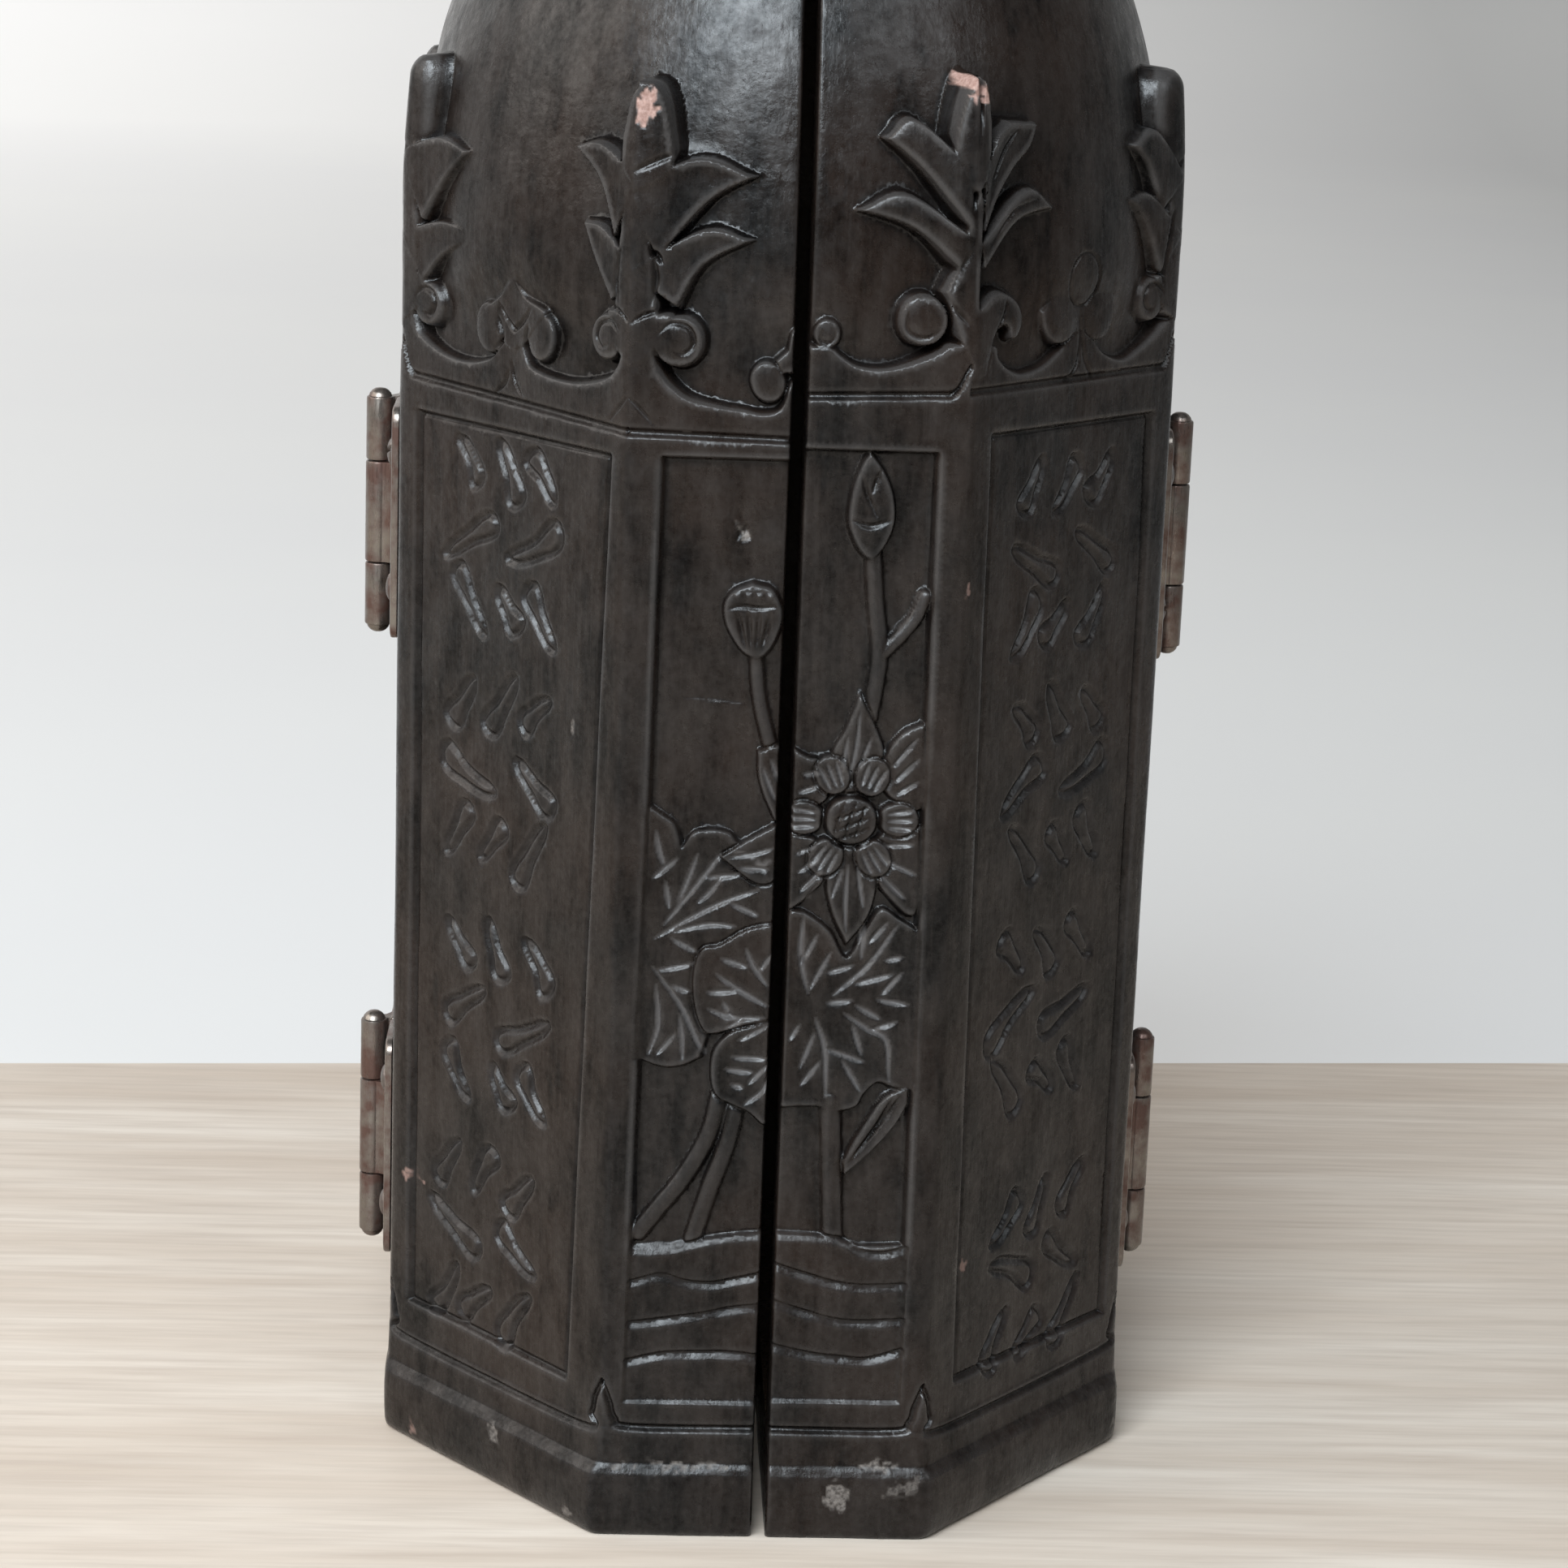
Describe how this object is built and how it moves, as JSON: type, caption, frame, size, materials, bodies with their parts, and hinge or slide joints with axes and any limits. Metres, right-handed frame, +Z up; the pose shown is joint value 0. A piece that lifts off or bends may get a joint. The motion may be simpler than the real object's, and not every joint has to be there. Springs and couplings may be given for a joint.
{
  "type": "folding shrine box",
  "caption": "Dark carved wooden shrine case, octagonal under a round dome, with hinged front quarter doors that open to a triptych.",
  "frame": {"origin": "centre of the underside, on the axis of the dome", "axes": "+Z up along the dome's axis, -Y to the front where the two doors meet, +X to the viewer's right"},
  "size_m": [0.1218, 0.113, 0.2547],
  "materials": {
    "wood": "dark brown-black stain under a satin lacquer, worn at the plinth",
    "hinge_metal": "tarnished and partly stained with the wood",
    "screw_metal": "dull, dark"
  },
  "bodies": {
    "back": {"back_shell": "wood", "left_lower_hinge_pin": "hinge_metal", "left_lower_hinge_back_leaf": "hinge_metal", "left_lower_back_screw_1": "screw_metal", "left_lower_back_screw_2": "screw_metal", "left_upper_hinge_pin": "hinge_metal", "left_upper_hinge_back_leaf": "hinge_metal", "left_upper_back_screw_1": "screw_metal", "left_upper_back_screw_2": "screw_metal", "right_lower_hinge_pin": "hinge_metal", "right_lower_hinge_back_leaf": "hinge_metal", "right_lower_back_screw_1": "screw_metal", "right_lower_back_screw_2": "screw_metal", "right_upper_hinge_pin": "hinge_metal", "right_upper_hinge_back_leaf": "hinge_metal", "right_upper_back_screw_1": "screw_metal", "right_upper_back_screw_2": "screw_metal"},
    "left_door": {"left_door": "wood", "left_lower_hinge_door_leaf": "hinge_metal", "left_lower_door_screw_1": "screw_metal", "left_lower_door_screw_2": "screw_metal", "left_upper_hinge_door_leaf": "hinge_metal", "left_upper_door_screw_1": "screw_metal", "left_upper_door_screw_2": "screw_metal"},
    "right_door": {"right_door": "wood", "right_lower_hinge_door_leaf": "hinge_metal", "right_lower_door_screw_1": "screw_metal", "right_lower_door_screw_2": "screw_metal", "right_upper_hinge_door_leaf": "hinge_metal", "right_upper_door_screw_1": "screw_metal", "right_upper_door_screw_2": "screw_metal"}
  },
  "joints": [
    {"name": "left_door_hinge", "type": "hinge", "parent": "back", "child": "left_door", "pos_m": [-0.0589, 0, 0.089], "axis": [0, 0, -1], "range_deg": [0, 180]},
    {"name": "right_door_hinge", "type": "hinge", "parent": "back", "child": "right_door", "pos_m": [0.0589, 0, 0.089], "axis": [0, 0, 1], "range_deg": [0, 180]}
  ]
}
